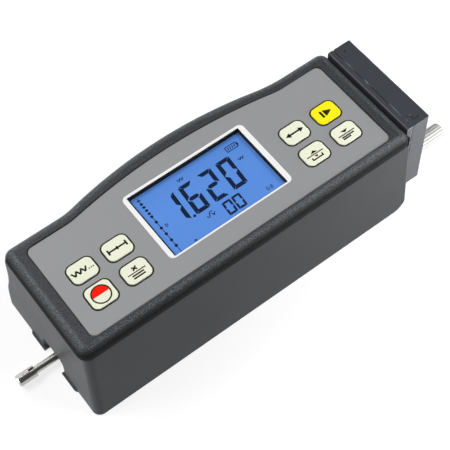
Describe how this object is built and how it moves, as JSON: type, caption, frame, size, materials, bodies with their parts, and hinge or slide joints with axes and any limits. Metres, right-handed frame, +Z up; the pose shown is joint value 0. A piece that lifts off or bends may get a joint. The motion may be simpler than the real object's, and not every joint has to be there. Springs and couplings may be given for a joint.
{
  "type": "surface roughness meter",
  "caption": "Portable surface roughness meter with a traversing stylus pickup, backlit display, keys and a clamped height foot.",
  "frame": {"origin": "middle of the flat underside of the sole", "axes": "+X to the end with the clamp knob, +Y to the bulged side, +Z up to the control panel"},
  "size_m": [0.1802, 0.0597, 0.0481],
  "materials": {
    "cover": "speckled moulded plastic",
    "housing": "satin dark grey",
    "base": "fine moulded grain",
    "panel": "satin grey film",
    "frame": "white printed border",
    "window": "clear",
    "display": "blue liquid crystal with dark digits",
    "light_guide": "milky",
    "inner_plastic": "plain",
    "board": "solder mask",
    "battery": "shrink sleeve",
    "foam": "foam tape",
    "bright_steel": "polished",
    "socket_steel": "stamped",
    "aluminium": "machined",
    "brass": "turned",
    "copper": "enamelled winding",
    "motor_can": "plated",
    "end_plastic": "satin dark blue grey",
    "cream_key": "soft rubber",
    "yellow_key": "soft rubber",
    "knob_steel": "ribbed, bright plated",
    "diamond": "ground point"
  },
  "bodies": {
    "case": {"top_cover": "cover", "housing": "housing", "bottom_cover": "base", "control_panel": "panel", "display_frame": "frame", "display_window": "window", "display_module": "display", "backlight": "light_guide", "display_holder": "inner_plastic", "main_board": "board", "key_domes": "bright_steel", "board_screws": "bright_steel", "battery_pack": "battery", "battery_pad": "foam", "data_socket": "socket_steel", "cover_screws": "bright_steel", "base_screws": "bright_steel", "drive_frame": "aluminium", "guide_rods": "bright_steel", "screw_bushes": "brass", "motor_gearbox": "motor_can", "drive_motor": "motor_can", "guide_plate": "end_plastic", "guide_screws": "bright_steel", "clamp_insert": "brass"},
    "power": {"power_key": "cream_key"},
    "menu": {"menu_key": "cream_key"},
    "parameter": {"parameter_key": "cream_key"},
    "cutoff": {"cutoff_key": "cream_key"},
    "range": {"range_key": "cream_key"},
    "start": {"start_key": "yellow_key"},
    "up": {"up_key": "cream_key"},
    "down": {"down_key": "cream_key"},
    "carriage": {"carriage": "aluminium", "drive_nut": "brass", "pivot_pin": "bright_steel"},
    "pickup": {"pickup_socket": "bright_steel", "pickup_body": "bright_steel", "pickup_tube": "bright_steel", "nose_sleeve": "bright_steel", "sensing_coil": "copper", "stylus_pivot": "bright_steel"},
    "stylus": {"stylus_arm": "bright_steel", "stylus_tip": "diamond"},
    "lead_screw": {"lead_screw": "bright_steel", "output_shaft": "bright_steel", "shaft_coupling": "aluminium"},
    "foot": {"foot_block": "end_plastic"},
    "knob": {"clamp_knob": "knob_steel", "clamp_washer": "bright_steel"}
  },
  "joints": [
    {"name": "power_press", "type": "slide", "parent": "case", "child": "power", "axis": [0, 0, -1], "range_m": [0, 0.0004], "stiffness_N_per_m": 900},
    {"name": "menu_press", "type": "slide", "parent": "case", "child": "menu", "axis": [0, 0, -1], "range_m": [0, 0.0004], "stiffness_N_per_m": 900},
    {"name": "parameter_press", "type": "slide", "parent": "case", "child": "parameter", "axis": [0, 0, -1], "range_m": [0, 0.0004], "stiffness_N_per_m": 900},
    {"name": "cutoff_press", "type": "slide", "parent": "case", "child": "cutoff", "axis": [0, 0, -1], "range_m": [0, 0.0004], "stiffness_N_per_m": 900},
    {"name": "range_press", "type": "slide", "parent": "case", "child": "range", "axis": [0, 0, -1], "range_m": [0, 0.0004], "stiffness_N_per_m": 900},
    {"name": "start_press", "type": "slide", "parent": "case", "child": "start", "axis": [0, 0, -1], "range_m": [0, 0.0004], "stiffness_N_per_m": 900},
    {"name": "up_press", "type": "slide", "parent": "case", "child": "up", "axis": [0, 0, -1], "range_m": [0, 0.0004], "stiffness_N_per_m": 900},
    {"name": "down_press", "type": "slide", "parent": "case", "child": "down", "axis": [0, 0, -1], "range_m": [0, 0.0004], "stiffness_N_per_m": 900},
    {"name": "pickup_traverse", "type": "slide", "parent": "case", "child": "carriage", "axis": [1, 0, 0], "range_m": [0, 0.0175]},
    {"name": "lead_screw_turn", "type": "hinge", "parent": "case", "child": "lead_screw", "pos_m": [0, 0, 0.017], "axis": [1, 0, 0], "range_deg": [0, 6400]},
    {"name": "pickup_float", "type": "hinge", "parent": "carriage", "child": "pickup", "pos_m": [-0.026, 0, 0.004], "axis": [0, 1, 0], "range_deg": [-0.5, 2], "stiffness_Nm_per_rad": 0.32},
    {"name": "stylus_swing", "type": "hinge", "parent": "pickup", "child": "stylus", "pos_m": [-0.054, 0, 0.0029], "axis": [0, 1, 0], "range_deg": [-0.5, 0.5], "stiffness_Nm_per_rad": 0.02},
    {"name": "foot_slide", "type": "slide", "parent": "case", "child": "foot", "axis": [0, 0, -1], "range_m": [0, 0.02]},
    {"name": "clamp_turn", "type": "hinge", "parent": "case", "child": "knob", "pos_m": [0.09, -0.02, 0.0224], "axis": [1, 0, 0], "range_deg": [0, 720]}
  ],
  "couplings": [
    {"joint": "lead_screw_turn", "follows": "pickup_traverse", "rad_per_m": 6283.2}
  ]
}
